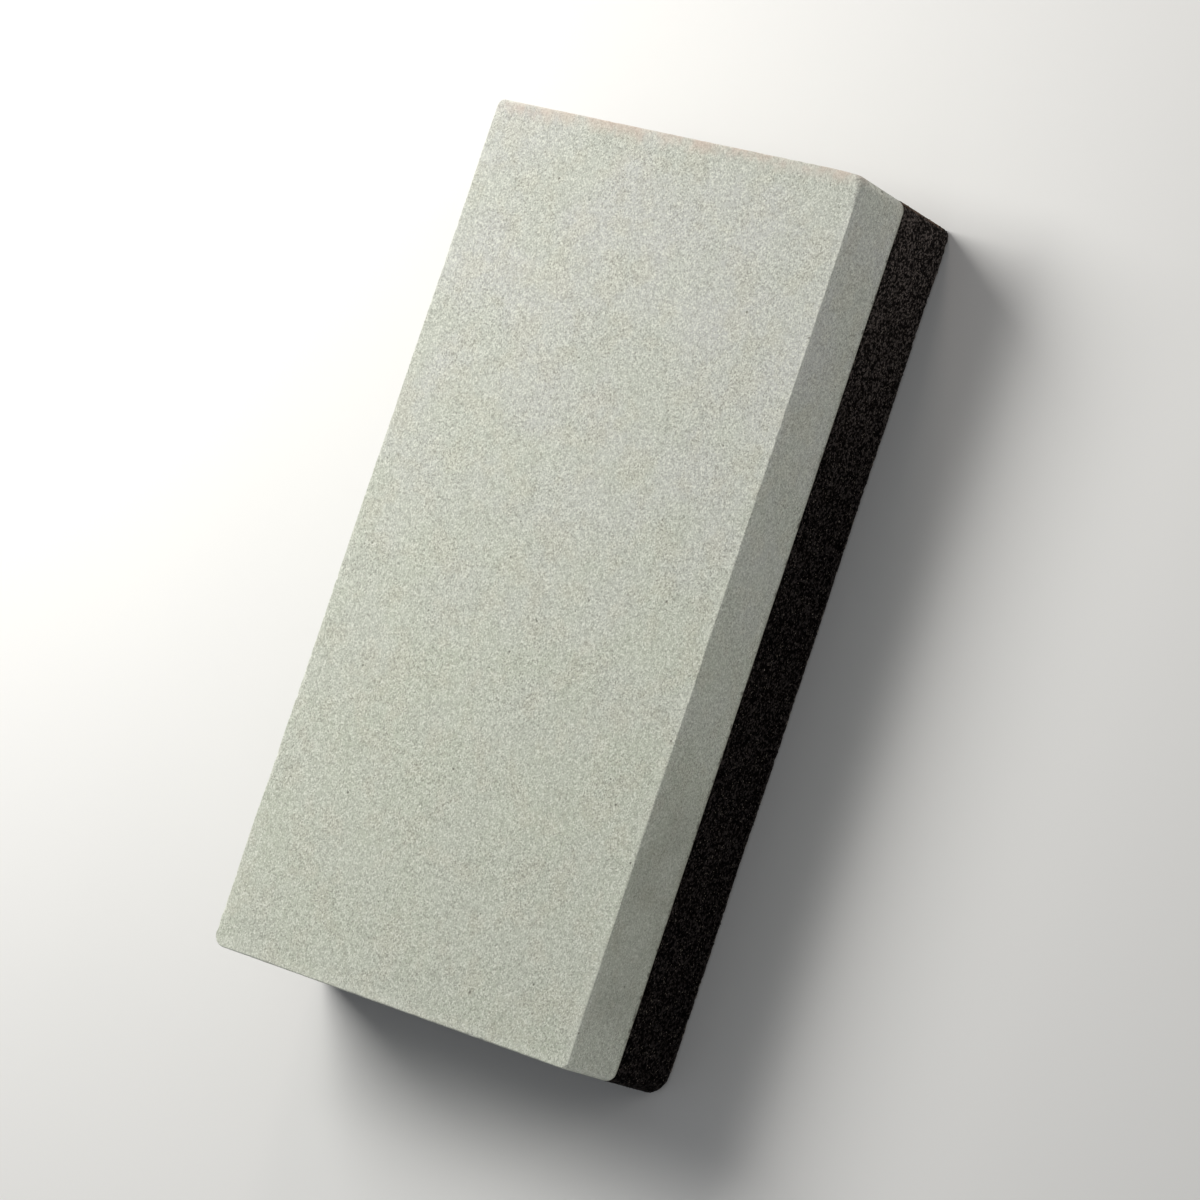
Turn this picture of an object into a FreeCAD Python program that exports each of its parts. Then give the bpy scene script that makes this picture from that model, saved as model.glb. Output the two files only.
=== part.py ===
import FreeCAD, Part
import os
import Sketcher

# Two-grit sharpening whetstone: a pale fine-grit slab bonded on top of a dark coarse-grit slab.
# +X runs along the stone, +Y across it and +Z up through its thickness.
# The origin is the middle of the coarse face, the face that the stone lies on.

DIMENSIONS = [
    # alias, millimetres, what it sets
    ("stone_length", 100.0, "length of both slabs, along X"),
    ("stone_width", 50.0, "width of both slabs, along Y"),
    ("coarse_thickness", 10.3, "coarse-grit slab, from its working face to the bond"),
    ("fine_thickness", 9.5, "fine-grit slab, from the bond to its working face"),
    ("film_thickness", 0.2, "bonding film between the slabs"),
    ("film_inset", 0.25, "how far the film stops short of the slabs' sides"),
    ("corner_radius", 1.5, "rounding of the four upright corners"),
    ("coarse_arris", 1.0, "rounding of the edges of the coarse working face"),
    ("fine_arris", 0.5, "rounding of the edges of the fine working face"),
]

PARTS_FOLDER = "parts"
SAME_HEIGHT = 1e-6  # millimetres


def make_sheet(doc):
    """Spreadsheet with one driving dimension in each row."""
    sheet = doc.addObject("Spreadsheet::Sheet", "Dimensions")
    for row, (alias, value, meaning) in enumerate(DIMENSIONS, start=1):
        sheet.set(f"A{row}", meaning)
        sheet.set(f"B{row}", str(value))
        sheet.setAlias(f"B{row}", alias)
    doc.recompute()
    return sheet


def origin_plane(body, role):
    """One of a body's own origin planes."""
    return next(item for item in body.Origin.OriginFeatures if item.Role == role)


def draw_rectangle(body, length, width):
    """Sketch on the body's XY plane: a rectangle centred on the origin."""
    sketch = body.newObject("Sketcher::SketchObject", "Outline")
    sketch.AttachmentSupport = [(origin_plane(body, "XY_Plane"), "")]
    sketch.MapMode = "FlatFace"
    corners = [
        FreeCAD.Vector(-1, -1, 0),
        FreeCAD.Vector(1, -1, 0),
        FreeCAD.Vector(1, 1, 0),
        FreeCAD.Vector(-1, 1, 0),
    ]
    sides = len(corners)
    start_point, end_point, origin_geometry, origin_point = 1, 2, -1, 1
    for side in range(sides):
        sketch.addGeometry(Part.LineSegment(corners[side], corners[(side + 1) % sides]))
    for side in range(sides):
        following = (side + 1) % sides
        sketch.addConstraint(Sketcher.Constraint("Coincident", side, end_point, following, start_point))
        direction = "Vertical" if side % 2 else "Horizontal"
        sketch.addConstraint(Sketcher.Constraint(direction, side))
    front, right, back = 0, 1, 2
    sketch.addConstraint(Sketcher.Constraint(
        "Symmetric", front, start_point, back, start_point, origin_geometry, origin_point))
    spans = [
        ("DistanceX", front, "Length", length),
        ("DistanceY", right, "Width", width),
    ]
    for kind, side, name, expression in spans:
        index = sketch.addConstraint(
            Sketcher.Constraint(kind, side, start_point, side, end_point, corners[1].x - corners[0].x))
        sketch.renameConstraint(index, name)
        sketch.setExpression(f"Constraints.{name}", expression)
    return sketch


def pad_outline(body, sketch, thickness):
    """Extrude the outline upwards."""
    pad = body.newObject("PartDesign::Pad", "Thickness")
    pad.Profile = sketch
    pad.setExpression("Length", thickness)
    body.Document.recompute()
    return pad


def upright_edges(feature):
    """Names of the edges that join two different heights."""
    names = []
    for number, edge in enumerate(feature.Shape.Edges, start=1):
        heights = [vertex.Z for vertex in edge.Vertexes]
        if max(heights) - min(heights) > SAME_HEIGHT:
            names.append(f"Edge{number}")
    return names


def level_edges(feature, level):
    """Names of the edges whose ends both lie at one height of the feature."""
    names = []
    for number, edge in enumerate(feature.Shape.Edges, start=1):
        if all(abs(vertex.Z - level) < SAME_HEIGHT for vertex in edge.Vertexes):
            names.append(f"Edge{number}")
    return names


def round_edges(body, base, edges, radius, name):
    """Fillet the named edges of a feature."""
    fillet = body.newObject("PartDesign::Fillet", name)
    fillet.Base = (base, edges)
    fillet.setExpression("Radius", radius)
    body.Document.recompute()
    return fillet


def make_layer(doc, label, length, width, thickness, corner_radius, base_height):
    """A flat layer with rounded upright corners, its underside at base_height.

    Returns the body and its last feature, ready for more work on its edges.
    """
    body = doc.addObject("PartDesign::Body", label)
    body.Label = label
    sketch = draw_rectangle(body, length, width)
    pad = pad_outline(body, sketch, thickness)
    corners = round_edges(body, pad, upright_edges(pad), corner_radius, "Corners")
    body.setExpression("Placement.Base.z", base_height)
    return body, corners


def make_coarse_grit_slab(doc):
    """Dark slab that the stone lies on; its worn edges are round its underside."""
    body, corners = make_layer(
        doc,
        label="coarse_grit_slab",
        length="Dimensions.stone_length",
        width="Dimensions.stone_width",
        thickness="Dimensions.coarse_thickness",
        corner_radius="Dimensions.corner_radius",
        base_height="0 mm",
    )
    lowest = min(vertex.Z for vertex in corners.Shape.Vertexes)
    working_edges = level_edges(corners, lowest)
    round_edges(body, corners, working_edges, "Dimensions.coarse_arris", "Arris")
    return body


def make_bond_film(doc):
    """Thin sheet of set adhesive that joins the slabs, a little short of their sides."""
    body, _corners = make_layer(
        doc,
        label="bond_film",
        length="Dimensions.stone_length - 2 * Dimensions.film_inset",
        width="Dimensions.stone_width - 2 * Dimensions.film_inset",
        thickness="Dimensions.film_thickness",
        corner_radius="Dimensions.corner_radius - Dimensions.film_inset",
        base_height="Dimensions.coarse_thickness * 1 mm",
    )
    return body


def make_fine_grit_slab(doc):
    """Pale slab on top; its lightly broken edges are round its upper face."""
    body, corners = make_layer(
        doc,
        label="fine_grit_slab",
        length="Dimensions.stone_length",
        width="Dimensions.stone_width",
        thickness="Dimensions.fine_thickness",
        corner_radius="Dimensions.corner_radius",
        base_height="(Dimensions.coarse_thickness + Dimensions.film_thickness) * 1 mm",
    )
    highest = max(vertex.Z for vertex in corners.Shape.Vertexes)
    working_edges = level_edges(corners, highest)
    round_edges(body, corners, working_edges, "Dimensions.fine_arris", "Arris")
    return body


def check_document(doc, bodies):
    """Stop if any object failed or any piece is missing or not a valid solid."""
    for item in doc.Objects:
        if "Invalid" in item.State or "Error" in item.State:
            raise RuntimeError(f"{item.Label} did not recompute: {item.State}")
    for body in bodies:
        shape = body.Shape
        if shape.isNull() or not shape.isValid() or len(shape.Solids) != 1:
            raise RuntimeError(f"{body.Label} is not one valid solid")


def export_pieces(bodies):
    """Write each piece to a file named after its label."""
    os.makedirs(PARTS_FOLDER, exist_ok=True)
    for body in bodies:
        body.Shape.exportStep(os.path.join(PARTS_FOLDER, body.Label + ".step"))
        box = body.Shape.optimalBoundingBox()
        print(
            f"{body.Label}: {box.XLength:.2f} x {box.YLength:.2f} x {box.ZLength:.2f} mm, "
            f"from z {box.ZMin:.2f} to {box.ZMax:.2f}, {body.Shape.Volume:.1f} mm3"
        )


def main():
    doc = FreeCAD.newDocument("Whetstone")
    make_sheet(doc)
    bodies = [
        make_coarse_grit_slab(doc),
        make_bond_film(doc),
        make_fine_grit_slab(doc),
    ]
    doc.recompute()
    check_document(doc, bodies)
    export_pieces(bodies)


main()
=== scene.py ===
import math
import random

import bmesh
import bpy
import numpy as np
from mathutils import Matrix, Vector, noise


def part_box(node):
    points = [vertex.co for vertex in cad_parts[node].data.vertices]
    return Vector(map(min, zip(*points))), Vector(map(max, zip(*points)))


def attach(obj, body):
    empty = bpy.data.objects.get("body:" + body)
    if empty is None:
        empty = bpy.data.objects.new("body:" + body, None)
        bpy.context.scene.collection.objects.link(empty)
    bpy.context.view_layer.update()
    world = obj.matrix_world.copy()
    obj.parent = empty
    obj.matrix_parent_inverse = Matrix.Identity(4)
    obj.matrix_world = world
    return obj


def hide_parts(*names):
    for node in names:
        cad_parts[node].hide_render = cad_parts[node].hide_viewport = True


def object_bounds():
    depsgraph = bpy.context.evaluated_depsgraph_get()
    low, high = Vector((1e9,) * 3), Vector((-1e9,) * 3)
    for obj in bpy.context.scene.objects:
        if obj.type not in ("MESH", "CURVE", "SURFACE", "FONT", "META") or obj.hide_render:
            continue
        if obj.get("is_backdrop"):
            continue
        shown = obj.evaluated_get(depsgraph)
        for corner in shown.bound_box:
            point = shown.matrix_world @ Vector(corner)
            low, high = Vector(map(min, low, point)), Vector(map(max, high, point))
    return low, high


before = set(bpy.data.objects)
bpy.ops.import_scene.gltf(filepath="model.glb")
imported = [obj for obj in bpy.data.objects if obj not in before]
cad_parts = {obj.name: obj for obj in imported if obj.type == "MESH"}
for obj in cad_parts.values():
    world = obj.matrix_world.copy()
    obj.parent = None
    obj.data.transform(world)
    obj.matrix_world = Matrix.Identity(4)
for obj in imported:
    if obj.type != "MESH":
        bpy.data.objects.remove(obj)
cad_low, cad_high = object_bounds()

bl_info = {
    "name": "Combination Whetstone",
    "version": (1, 0, 0),
    "blender": (4, 5, 0),
    "location": "View3D > Sidebar > Whetstone",
    "description": "Dresses a two-grit whetstone round its fixed frame",
    "category": "Add Mesh",
}

MM = 0.001  # metres

FINE_LOW, FINE_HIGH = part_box("fine_grit_slab")
FILM_LOW, FILM_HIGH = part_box("bond_film")
COARSE_LOW, COARSE_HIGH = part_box("coarse_grit_slab")

# The order of the four corners in every list of corner radii.
CORNER_SIGNS = ((-1, -1), (1, -1), (1, 1), (-1, 1))


# Sizes and colours

def length(name, description, default):
    return bpy.props.FloatProperty(
        name=name, description=description, default=default, min=0.0,
        subtype="DISTANCE", unit="LENGTH", precision=5)


def angle(name, description, default):
    return bpy.props.FloatProperty(
        name=name, description=description, default=math.radians(default),
        subtype="ANGLE", unit="ROTATION")


def share(name, description, default):
    return bpy.props.FloatProperty(
        name=name, description=description, default=default, min=0.0, max=1.0,
        subtype="FACTOR")


def number(name, description, default):
    return bpy.props.IntProperty(name=name, description=description, default=default, min=0)


def colour(name, description, default):
    return bpy.props.FloatVectorProperty(
        name=name, description=description, default=default, size=3, min=0.0, max=1.0,
        subtype="COLOR")


def corners(name, description, default):
    return bpy.props.FloatVectorProperty(
        name=name, description=description, default=default, size=4, min=0.0,
        unit="LENGTH", precision=5)


def power(name, description, default):
    return bpy.props.FloatProperty(
        name=name, description=description, default=default, subtype="POWER", unit="POWER")


# The sizes that both slabs have: how each is set, its label and what it means.
SLAB_SIZES = {
    "arris": (length, "Arris", "Rounding of the working face's edges"),
    "arris_unevenness": (share, "Arris Unevenness", "How much the rounding varies along the edges"),
    "bond_corners": (corners, "Corners at Bond", "Upright corner radii at the bond"),
    "face_corners": (corners, "Corners at Face", "Upright corner radii at the working face"),
    "worn_corner": (number, "Worn Corner", "The most worn corner, counted from 0"),
    "worn_extra": (length, "Worn Extra", "Extra arris rounding at the most worn corner"),
    "worn_reach": (length, "Worn Reach", "How far that extra rounding spreads"),
    "proud": (length, "Proud", "How far the sides stand out from the block's nominal outline"),
    "step": (length, "Mesh Step", "Spacing of the mesh away from the edges"),
    "wave_height": (length, "Wave Height", "Height of the broad unevenness"),
    "grain_height": (length, "Grain Height", "Height of the coarser grain in the mesh"),
    "crumb_size": (length, "Crumb Size", "Size of the crumbs missing from the edges"),
    "crumb_depth": (length, "Crumb Depth", "Depth of those crumbs"),
    "bites": (number, "Edge Bites", "Chips along the edges of the working face"),
    "bite_depth": (length, "Bite Depth", "Depth of the deepest edge chip"),
    "pits": (number, "Pits", "Open pores on the face and sides"),
    "pit_radius": (length, "Pit Radius", "Radius of the largest pore"),
    "grain_size": (length, "Grain Size", "Size of the visible grains"),
}


def slab_sizes(**defaults):
    """The settings for the sizes in SLAB_SIZES, from the default of each."""
    return {key: kind(label, description, defaults[key])
            for key, (kind, label, description) in SLAB_SIZES.items()}


class FineSlabSettings(bpy.types.PropertyGroup):
    """Sizes and colours of the pale upper slab"""

    __annotations__.update(slab_sizes(
        arris=0.20 * MM, arris_unevenness=0.3,
        bond_corners=(1.2 * MM, 1.5 * MM, 1.1 * MM, 1.8 * MM),
        face_corners=(0.9 * MM, 1.4 * MM, 0.8 * MM, 1.5 * MM),
        worn_corner=1, worn_extra=0.9 * MM, worn_reach=2.6 * MM,
        proud=0.0, step=0.37 * MM,
        wave_height=0.035 * MM, grain_height=0.014 * MM, crumb_size=0.9 * MM, crumb_depth=0.06 * MM,
        bites=26, bite_depth=0.13 * MM, pits=26, pit_radius=0.15 * MM, grain_size=0.12 * MM))
    base_colour: colour("Grey-Green", "Most of the stone", (0.544, 0.578, 0.487))
    lilac_colour: colour("Lilac Grey", "Cooler patches", (0.562, 0.573, 0.545))
    warm_colour: colour("Warm Grey", "Small warmer patches", (0.580, 0.565, 0.470))
    speck_colour: colour("Dark Speck", "Darker grains", (0.200, 0.200, 0.165))
    pale_colour: colour("Pale Grain", "Paler grains and freshly broken edges", (0.780, 0.795, 0.720))
    # Painted shade: the darker band beside the bond stands in for the shadow where the slab meets the
    # bond.
    bond_stain: colour("Painted Bond Shade", "Darker band beside the bond", (0.300, 0.300, 0.240))
    # Darker patches on the long side, toward the left-hand end.
    side_dark_colour: colour("Side Darkening", "Darker patches on the long side", (0.250, 0.260, 0.210))
    # Painted shade: small dark notches at the bond stand in for the shadows of crumbs missing from that
    # edge.
    notch_shade_colour: colour("Painted Notch Shade", "Small notches in the edge at the bond", (0.090, 0.085, 0.068))
    # Painted light: the warm rim light along the right-hand end, painted into the colour.
    end_rim_light_colour: colour("Painted End Rim Light", "Warm mark along the right-hand end", (0.640, 0.500, 0.430))


class CoarseSlabSettings(bpy.types.PropertyGroup):
    """Sizes and colours of the dark lower slab"""

    __annotations__.update(slab_sizes(
        arris=0.4 * MM, arris_unevenness=0.35,
        bond_corners=(1.0 * MM, 1.3 * MM, 1.2 * MM, 1.8 * MM),
        face_corners=(2.3 * MM, 1.2 * MM, 1.7 * MM, 2.2 * MM),
        worn_corner=0, worn_extra=0.3 * MM, worn_reach=2.0 * MM,
        proud=0.01 * MM, step=0.34 * MM,
        wave_height=0.05 * MM, grain_height=0.06 * MM, crumb_size=0.55 * MM, crumb_depth=0.11 * MM,
        bites=110, bite_depth=0.15 * MM, pits=120, pit_radius=0.22 * MM, grain_size=0.21 * MM))
    binder_colour: colour("Binder", "Black glassy binder", (0.0008, 0.0006, 0.0006))
    brown_colour: colour("Brown Patches", "Browner patches of the binder", (0.0022, 0.0014, 0.0011))
    grain_colour: colour("Grain", "Dull grains", (0.0460, 0.0385, 0.0365))
    # Painted glints: the pale colour of a few grains and of dots along the lower arris stands in for
    # sparkle and highlights.
    glint_colour: colour("Painted Glint", "Painted glints on a few grains", (0.230, 0.200, 0.165))
    dust_colour: colour("Dust", "Brown dust toward the right-hand end", (0.1340, 0.1130, 0.1030))
    # Painted highlight: a warm rim highlight on the right-hand upright corners, painted into the
    # colour.
    rim_highlight_colour: colour("Painted Rim Highlight", "Warm mark on the right-hand corners", (0.3300, 0.2000, 0.1300))
    dust_reach: length("Dust Reach", "How far the dust spreads from that end", 40 * MM)


class BondFilmSettings(bpy.types.PropertyGroup):
    """Sizes and colours of the adhesive film"""

    inset: length("Inset", "How far the film's edge lies inside the slabs' sides", 0.10 * MM)
    wander: length("Wander", "How far the edge wanders in and out", 0.08 * MM)
    bulge: length("Bulge", "How far the middle of the edge bulges", 0.03 * MM)
    step: length("Mesh Step", "Spacing along the edge", 0.4 * MM)
    resin_colour: colour("Resin", "Set adhesive", (0.045, 0.037, 0.028))
    dust_colour: colour("Dust", "Pale dust caught on the adhesive", (0.160, 0.150, 0.120))


class ExposedGritSettings(bpy.types.PropertyGroup):
    """Crystals that stand out of the coarse slab"""

    spacing: length("Spacing", "Least distance between two crystals", 0.55 * MM)
    smallest: length("Smallest", "Radius of the smallest crystal", 0.07 * MM)
    largest: length("Largest", "Radius of the largest crystal", 0.19 * MM)
    sink: share("Sink", "How deep a crystal sits, as a share of its radius", 0.45)
    face_share: share("Face Share", "Crystals on the face, as a share of those on the sides", 0.16)
    seed: number("Seed", "Arrangement of the crystals", 7)
    dull_colour: colour("Dull Crystal", "Most of the crystals", (0.0060, 0.0047, 0.0042))
    # Painted glints: the pale colour of a few crystals stands in for their sparkle.
    glint_crystal_colour: colour("Painted Crystal Glint", "Painted glints on a few crystals", (0.240, 0.205, 0.170))


class StudioSettings(bpy.types.PropertyGroup):
    """Camera, lamps and floor"""

    azimuth: angle("Azimuth", "Camera's turn round the stone from square-on", 6.79)
    elevation: angle("Elevation", "Camera's height above the floor", 55.00)
    roll: angle("Roll", "Camera's turn about its own axis", 65.86)
    distance: length("Distance", "Camera to the point it aims at", 516.88 * MM)
    lens: bpy.props.FloatProperty(
        name="Lens", description="Focal length", default=140.40, subtype="DISTANCE_CAMERA")
    aim: bpy.props.FloatVectorProperty(
        name="Aim", description="Aim point, from the middle of the stone",
        default=(-0.46 * MM, -2.01 * MM, -1.44 * MM), subtype="XYZ_LENGTH", unit="LENGTH")
    key_power: power("Key Power", "Large soft lamp behind the stone", 0.92)
    fill_power: power("Fill Power", "Weak lamp in front of the long side", 0.335)
    rim_power: power("Rim Power", "Small warm lamp beyond the right-hand end", 0.22)
    front_power: power("Front Power", "Weak lamp in front of the left-hand end", 0.02)
    sky_colour: colour("Sky", "Light from all round", (0.92, 0.95, 1.00))
    sky_strength: share("Sky Strength", "Brightness of the light from all round", 0.20)
    floor_colour: colour("Floor", "Pale floor", (0.78, 0.78, 0.77))
    floor_radius: length("Floor Radius", "Radius of the floor", 4.0)


# Small tools for node trees

# Places of the sockets of a Mix node in colour mode.
MIX_FACTOR, MIX_FIRST, MIX_SECOND, MIX_RESULT = 0, 6, 7, 2
# Places of the sockets of a Random Value node in float mode.
RANDOM_LOW, RANDOM_HIGH, RANDOM_SEED, RANDOM_RESULT = 2, 3, 8, 1
COLUMN_WIDTH, ROW_HEIGHT = 200, 220


class Number:
    """A number that a node puts out. Arithmetic on it adds math nodes to the same tree."""

    def __init__(self, socket):
        self.socket = socket
        self.tree = socket.id_data

    def __add__(self, other):
        return calculate(self.tree, "ADD", self, other)

    def __sub__(self, other):
        return calculate(self.tree, "SUBTRACT", self, other)

    def __rsub__(self, other):
        return calculate(self.tree, "SUBTRACT", other, self)

    def __mul__(self, other):
        return calculate(self.tree, "MULTIPLY", self, other)

    def __truediv__(self, other):
        return calculate(self.tree, "DIVIDE", self, other)

    def __rtruediv__(self, other):
        return calculate(self.tree, "DIVIDE", other, self)

    def __abs__(self):
        return calculate(self.tree, "ABSOLUTE", self)

    def or_more(self, other):
        return calculate(self.tree, "MAXIMUM", self, other)

    def ramp(self, start, end, low=0.0, high=1.0):
        """Smooth step from low at start to high at end."""
        inputs = {"Value": self, "From Min": start, "From Max": end, "To Min": low, "To Max": high}
        node = add_node(self.tree, "ShaderNodeMapRange", inputs, interpolation_type="SMOOTHSTEP")
        return Number(node.outputs["Result"])


def link(value, target):
    """Feed a socket from a number or from another socket."""
    target.id_data.links.new(value.socket if isinstance(value, Number) else value, target)


def add_node(tree, kind, inputs=None, **settings):
    """Add a node, set its options, and link or set its inputs by name or place."""
    node = tree.nodes.new(kind)
    for name, value in settings.items():
        setattr(node, name, value)
    for socket, value in (inputs or {}).items():
        if isinstance(value, (Number, bpy.types.NodeSocket)):
            link(value, node.inputs[socket])
        else:
            node.inputs[socket].default_value = value
    return node


def calculate(tree, operation, *values):
    node = add_node(tree, "ShaderNodeMath", dict(enumerate(values)), operation=operation)
    return Number(node.outputs[0])


def scale_vector(vector, factor):
    inputs = {0: vector, "Scale": factor}
    return add_node(vector.id_data, "ShaderNodeVectorMath", inputs, operation="SCALE").outputs[0]


def measured_in(vector, size):
    """A vector in units of a size, so that a texture's features come out about that size."""
    return scale_vector(vector, calculate(vector.id_data, "DIVIDE", 1.0, size))


def move_vector(vector, offset):
    inputs = {0: vector, 1: offset}
    return add_node(vector.id_data, "ShaderNodeVectorMath", inputs, operation="ADD").outputs[0]


def split_vector(vector):
    """The three parts of a vector, as numbers."""
    parts = add_node(vector.id_data, "ShaderNodeSeparateXYZ", {0: vector}).outputs
    return [Number(part) for part in parts]


def noise_value(vector, size, detail=2.0, roughness=0.5):
    """Noise from 0 to 1 whose features are about size across."""
    inputs = {"Vector": measured_in(vector, size), "Scale": 1.0,
              "Detail": detail, "Roughness": roughness}
    return Number(add_node(vector.id_data, "ShaderNodeTexNoise", inputs).outputs["Fac"])


def bend_vector(vector, amount):
    """Shift a vector by noise about amount long, so that round shapes turn uneven."""
    inputs = {"Vector": measured_in(vector, amount), "Scale": 1.0, "Detail": 2.0}
    swirl = add_node(vector.id_data, "ShaderNodeTexNoise", inputs).outputs["Color"]
    return move_vector(vector, scale_vector(move_vector(swirl, (-0.5, -0.5, -0.5)), amount))


def cell_texture(vector, size):
    """Cells of about a size: two random numbers for each cell, and the distance from its middle."""
    tree = vector.id_data
    inputs = {"Vector": measured_in(vector, size), "Scale": 1.0}
    cells = add_node(tree, "ShaderNodeTexVoronoi", inputs, feature="F1").outputs
    lots = add_node(tree, "ShaderNodeSeparateColor", {0: cells["Color"]}).outputs
    return Number(lots["Red"]), Number(lots["Green"]), Number(cells["Distance"])


def opaque(rgb):
    return (*rgb, 1.0)


def paint(tree, tint, *layers):
    """Cover a colour with layers, each a mask and the colour that shows where the mask is 1."""
    tint = opaque(tint)
    for mask, layer_colour in layers:
        inputs = {MIX_FACTOR: mask, MIX_FIRST: tint, MIX_SECOND: opaque(layer_colour)}
        tint = add_node(tree, "ShaderNodeMix", inputs, data_type="RGBA").outputs[MIX_RESULT]
    return tint


def arrange(tree):
    """Lay a tree's nodes out in columns, in the order that they feed each other."""
    column = {node: 0 for node in tree.nodes}
    for _ in tree.nodes:
        for joint in tree.links:
            column[joint.to_node] = max(column[joint.to_node], column[joint.from_node] + 1)
    filled = {}
    for node, place in column.items():
        row = filled.get(place, 0)
        node.location = (place * COLUMN_WIDTH, -row * ROW_HEIGHT)
        filled[place] = row + 1


def new_group(name, tree_type, inputs, outputs):
    """A node group with named sockets. Returns it, its inputs' values and its outputs' targets."""
    tree = bpy.data.node_groups.new(name, tree_type)
    for kind, label, *default in inputs:
        socket = tree.interface.new_socket(label, in_out="INPUT", socket_type="NodeSocket" + kind)
        if default:
            socket.default_value = default[0]
    for kind, label in outputs:
        tree.interface.new_socket(label, in_out="OUTPUT", socket_type="NodeSocket" + kind)
    given = {socket.name: Number(socket) if socket.type in ("VALUE", "INT") else socket
             for socket in tree.nodes.new("NodeGroupInput").outputs}
    wanted = tree.nodes.new("NodeGroupOutput").inputs
    return tree, given, wanted


# Shader node groups shared by the materials

def new_shader_group(name, defaults, outputs):
    """A shader node group that reads a vector and some numbers, and puts out numbers."""
    inputs = [("Vector", "Vector"), *(("Float", label, default) for label, default in defaults.items())]
    return new_group(name, "ShaderNodeTree", inputs, [("Float", label) for label in outputs])


def build_grain_group(name):
    """Packed grains: a random tone for each one, and the height of its rounded top."""
    tree, given, wanted = new_shader_group(name, {"Grain Size": 0.2 * MM}, ["Tone", "Height"])
    tone, _spare, from_middle = cell_texture(given["Vector"], given["Grain Size"])
    rough = noise_value(given["Vector"], given["Grain Size"], detail=3.0, roughness=0.6)
    link(tone, wanted["Tone"])
    link(rough * 0.6 + (1.0 - from_middle), wanted["Height"])
    arrange(tree)


def build_pore_group(name):
    """Scattered pores: 1 inside a pore and 0 outside."""
    tree, given, wanted = new_shader_group(
        name, {"Spacing": 3 * MM, "Radius": 0.2 * MM, "Share": 0.2}, ["Mask"])
    bent = bend_vector(given["Vector"], given["Radius"])
    lot, size_lot, from_middle = cell_texture(bent, given["Spacing"])
    rim = given["Radius"] / given["Spacing"] * size_lot.ramp(0.0, 1.0, 0.4, 1.0)
    pore = from_middle.ramp(rim, rim * 0.5)
    link(pore * calculate(tree, "LESS_THAN", lot, given["Share"]), wanted["Mask"])
    arrange(tree)


def build_patch_group(name):
    """Broad soft patches, from 0 to 1."""
    tree, given, wanted = new_shader_group(name, {"Patch Size": 15 * MM, "Edge": 0.15}, ["Mask"])
    broad = noise_value(given["Vector"], given["Patch Size"], detail=3.0, roughness=0.55)
    link(broad.ramp(0.5 - given["Edge"], given["Edge"] + 0.5), wanted["Mask"])
    arrange(tree)


def build_wear_group(name):
    """Rubbed edges: 1 on an edge, ragged, and 0 away from it."""
    tree, given, wanted = new_shader_group(
        name, {"Nearness": 0.0, "Raggedness": 0.5, "Ragged Size": 0.8 * MM}, ["Mask"])
    ragged = noise_value(given["Vector"], given["Ragged Size"], detail=3.0, roughness=0.6)
    near = given["Nearness"] + (ragged - 0.5) * given["Raggedness"]
    link(near.ramp(0.25, 0.95), wanted["Mask"])
    arrange(tree)


SHADER_GROUP_BUILDERS = {
    "Packed Grains": build_grain_group,
    "Scattered Pores": build_pore_group,
    "Soft Patches": build_patch_group,
    "Rubbed Edges": build_wear_group,
}


def use_group(name, place, inputs):
    """Place a shader node group in a material, built at its first use: its outputs by name."""
    if name not in bpy.data.node_groups:
        SHADER_GROUP_BUILDERS[name](name)
    node = add_node(place.id_data, "ShaderNodeGroup", {"Vector": place, **inputs},
                    node_tree=bpy.data.node_groups[name])
    return {socket.name: Number(socket) for socket in node.outputs}


def packed_grains(place, size):
    return use_group("Packed Grains", place, {"Grain Size": size})


def soft_patches(place, size, edge):
    return use_group("Soft Patches", place, {"Patch Size": size, "Edge": edge})["Mask"]


def scattered_pores(place, spacing, radius, pore_share):
    inputs = {"Spacing": spacing, "Radius": radius, "Share": pore_share}
    return use_group("Scattered Pores", place, inputs)["Mask"]


def rubbed_edges(place, near, raggedness, size):
    inputs = {"Nearness": near, "Raggedness": raggedness, "Ragged Size": size}
    return use_group("Rubbed Edges", place, inputs)["Mask"]


# Materials

CLUMP_SIZE = 2.6  # the fine grit's clumps, in grains
FINES_SIZE = 0.55  # the coarse grit's finer grains, as a share of a grain
FLOOR_SHADE = 0.985  # the floor's darker patches, as a share of its colour


def new_material(name, diffuse_roughness, specular_level):
    """A material with its own Principled BSDF. Returns it and its object coordinates."""
    material = bpy.data.materials.new(name)
    material.use_nodes = True
    shader = material.node_tree.nodes["Principled BSDF"]
    shader.inputs["Diffuse Roughness"].default_value = diffuse_roughness
    shader.inputs["Specular IOR Level"].default_value = specular_level
    place = add_node(material.node_tree, "ShaderNodeTexCoord").outputs["Object"]
    return material, place


def finish_material(material, tint, roughness, height, depth):
    """Feed the shader its colour, its roughness and a bump of a given depth."""
    tree = material.node_tree
    inputs = {"Height": height, "Distance": depth, "Strength": 1.0}
    normal = add_node(tree, "ShaderNodeBump", inputs).outputs["Normal"]
    shader = tree.nodes["Principled BSDF"].inputs
    for value, socket in ((tint, "Base Color"), (roughness, "Roughness"), (normal, "Normal")):
        link(value, shader[socket])
    arrange(tree)
    return material


def attribute(place, name):
    return Number(add_node(place.id_data, "ShaderNodeAttribute", attribute_name=name).outputs["Fac"])


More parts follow.
